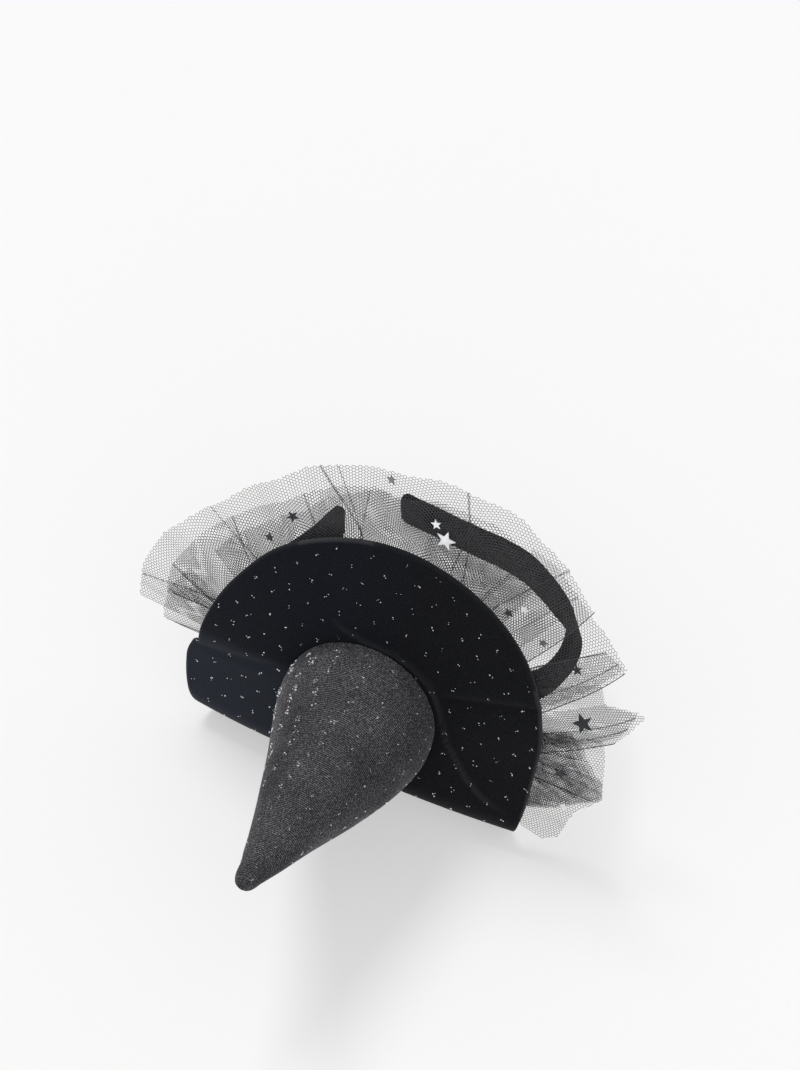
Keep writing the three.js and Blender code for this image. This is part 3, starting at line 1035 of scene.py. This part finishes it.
def knit(sheet, pitch, width):
    """Hexagonal net as thin closed threads. Returns points, faces, the flat size and the threads' area."""
    edge = sheet["edge"]
    (first_seam, first_reach), (last_seam, last_reach) = sheet["sides"]
    lowest, highest = min(first_seam, first_reach), max(last_seam, last_reach)
    pleats = sheet["pleats"]
    slack = sum(2 * max(inner_take, outer_take) for _, _, inner_take, outer_take in pleats)
    reach = max(radius for _, radius in edge) - SEAM_RADIUS
    length = (highest - lowest) * MM_PER_DEGREE + slack
    side = pitch / math.sqrt(3)
    layer = sheet["layer"]
    # Each ply is turned a little, so that the cells of two plies do not line up
    turn = math.radians(2.5 * math.sin(5 * layer))

    def place(u, v):
        share = v / reach
        laid, behind = pleated(lowest * MM_PER_DEGREE + u, share, pleats)
        angle = laid / MM_PER_DEGREE
        if angle < first_seam + (first_reach - first_seam) * share:
            return None
        if angle > last_seam + (last_reach - last_seam) * share:
            return None
        outer = straight_rows(edge, angle)
        radius = SEAM_RADIUS + v
        if radius > outer or v < SEWN_STRIP:
            return None
        point = net_point(layer, angle, radius, outer)
        point.y += behind
        return point

    margin = 10
    longest = 3 * side
    rows = int(length / (1.5 * side)) + 2 * margin
    columns = int(reach / pitch) + 2 * margin
    nodes = {}

    def spot(a, b):
        """A place on the flat net. The rows of cells run from the seam to the outer edge."""
        du, dv = b - length / 2, a * pitch / 2 - reach / 2
        u = length / 2 + du * math.cos(turn) - dv * math.sin(turn)
        v = reach / 2 + du * math.sin(turn) + dv * math.cos(turn)
        key = (round(u, 2), round(v, 2))
        if key not in nodes:
            nodes[key] = place(u, v)
        return nodes[key]

    points = []
    faces = []
    area = 0.0
    for row in range(-margin, rows):
        base = row * 1.5 * side
        for column in range(-margin, columns):
            a = 2 * column + (row % 2)
            here = spot(a, base)
            for there in (spot(a - 1, base + side / 2), spot(a + 1, base + side / 2), spot(a, base - side)):
                if here and there and (here - there).length < longest:
                    area += add_thread(points, faces, here, there, width)
    for is_folded, (seam, full) in zip(sheet["folded"], sheet["sides"]):
        if is_folded:
            area += add_fold(points, faces, sheet, reach, seam, full)
    covered = sum(1 for knot in nodes.values() if knot) * pitch**2 * math.sqrt(3) / 4
    return points, faces, (reach, covered / reach), area / 2


def add_fold(points, faces, sheet, reach, seam, full):
    """The dark line of a folded side edge."""
    step = 1.2
    width = 0.4
    area = 0.0
    before = None
    for k in range(int(SEWN_STRIP / step) + 1, int(reach / step)):
        angle = seam + (full - seam) * k * step / reach
        outer = straight_rows(sheet["edge"], angle)
        radius = SEAM_RADIUS + k * step
        if radius > outer:
            break
        place = net_point(sheet["layer"], angle, radius, outer)
        if before:
            area += add_thread(points, faces, before, place, width)
        before = place
    return area


def add_thread(points, faces, start, end, width):
    """A closed three-sided thread between two knots. Returns its surface in square millimetres."""
    along = (end - start).normalized()
    side = along.cross(Vector((0, 1, 0.1))).normalized()
    front = side.cross(along).normalized()
    radius = width / math.sqrt(3)
    first = len(points)
    overlap = 0.3 * width
    for place in (start - along * overlap, end + along * overlap):
        for k in range(3):
            turn = 2 * math.pi * k / 3 + math.pi / 2
            points.append(place + side * radius * math.cos(turn) + front * radius * math.sin(turn))
    for k in range(3):
        n = (k + 1) % 3
        faces.append((first + k, first + 3 + k, first + 3 + n, first + n))
    faces.append((first, first + 1, first + 2))
    faces.append((first + 5, first + 4, first + 3))
    return 3 * width * ((end - start).length + 2 * overlap) + math.sqrt(3) / 2 * width**2


class WITCHHAT_OT_stars(bpy.types.Operator):
    """Finish the foil stars on the net"""

    bl_idname = "witch_hat.stars"
    bl_label = "Stars"

    def execute(self, context):
        look = context.scene.witch_hat
        bright = foil("bright foil", look.foil_bright, 0.3)
        dark = foil("dark foil", look.foil_dark, 0.4)
        grey = foil("grey foil", look.foil_grey, 0.4)
        for name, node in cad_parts.items():
            if name.startswith("star_"):
                number = int(name.split("_")[1])
                finish = dark if number in DARK_STARS else grey if number in GREY_STARS else bright
                node.material_slots[0].material = finish
        return {"FINISHED"}


class WITCHHAT_OT_stage(bpy.types.Operator):
    """Set the glowing table, the soft light and the camera"""

    bl_idname = "witch_hat.stage"
    bl_label = "Stage"

    def execute(self, context):
        clear_selection()
        table_size = 8
        below_part = 0.0003
        bpy.ops.mesh.primitive_plane_add(size=table_size, location=(0, 0, -below_part))
        floor = context.active_object
        floor.name = "table"
        floor.data.materials.append(floor_paper())
        azimuth = math.radians(24)
        elevation = math.radians(57)
        right = Vector((math.cos(azimuth), math.sin(azimuth), 0))
        back = Vector((
            math.sin(azimuth) * math.cos(elevation),
            -math.cos(azimuth) * math.cos(elevation),
            math.sin(elevation),
        ))
        up = back.cross(right)
        pixels_high = 1070
        pixels_per_mm = 2.6
        frame_height = pixels_high / pixels_per_mm * MM
        lens = 400
        sensor = 36
        target = Vector((HAT_X, HAT_Y, level())) * MM + right * 0.015 + up * 0.0673
        distance = frame_height * lens / sensor
        camera = bpy.data.cameras.new("camera")
        camera.lens = lens
        camera.sensor_width = sensor
        camera.clip_end = 60
        holder = bpy.data.objects.new("camera", camera)
        holder.matrix_world = Matrix((right, up, back)).transposed().to_4x4()
        holder.location = target + back * distance
        context.scene.collection.objects.link(holder)
        context.scene.camera = holder
        context.scene.view_settings.view_transform = "Standard"
        world = bpy.data.worlds.new("studio")
        world.use_nodes = True
        background = world.node_tree.nodes["Background"]
        background.inputs["Color"].default_value = (1, 1, 1, 1)
        background.inputs["Strength"].default_value = context.scene.witch_hat.sky_light
        context.scene.world = world
        add_light("key", (-0.6, 0.5, 1.2), 24, 1.62)
        add_light("fill", (1.0, -1.0, 0.9), 50, 0.15)
        return {"FINISHED"}


def add_light(name, towards, spread, strength):
    """A distant light, so that the table is lit evenly. Its spread in degrees softens the shadows."""
    light = bpy.data.lights.new(name, "SUN")
    light.angle = math.radians(spread)
    light.energy = strength
    holder = bpy.data.objects.new(name, light)
    holder.rotation_euler = Vector(towards).to_track_quat("Z", "Y").to_euler()
    bpy.context.scene.collection.objects.link(holder)


STEPS = (
    WITCHHAT_OT_stage,
    WITCHHAT_OT_cone,
    WITCHHAT_OT_brim,
    WITCHHAT_OT_glitter,
    WITCHHAT_OT_headband,
    WITCHHAT_OT_tulle,
    WITCHHAT_OT_stars,
)


class WITCHHAT_PT_panel(bpy.types.Panel):
    """Lists the hat's sizes, colours and steps"""

    bl_idname = "WITCHHAT_PT_panel"
    bl_label = "Witch Hat"
    bl_space_type = "VIEW_3D"
    bl_region_type = "UI"
    bl_category = "Witch Hat"

    def draw(self, context):
        look = context.scene.witch_hat
        for name in look.bl_rna.properties.keys():
            if name not in ("rna_type", "name"):
                self.layout.prop(look, name)
        for step in STEPS:
            self.layout.operator(step.bl_idname)


CLASSES = (WitchHatSettings, *STEPS, WITCHHAT_PT_panel)


def register():
    for item in CLASSES:
        bpy.utils.register_class(item)
    bpy.types.Scene.witch_hat = bpy.props.PointerProperty(type=WitchHatSettings)


def unregister():
    del bpy.types.Scene.witch_hat
    for item in reversed(CLASSES):
        bpy.utils.unregister_class(item)


def main():
    register()
    bpy.ops.witch_hat.stage()
    bpy.ops.witch_hat.cone()
    bpy.ops.witch_hat.brim()
    bpy.ops.witch_hat.glitter()
    bpy.ops.witch_hat.headband()
    bpy.ops.witch_hat.tulle()
    bpy.ops.witch_hat.stars()
    clear_selection()


if __name__ == "__main__":
    main()
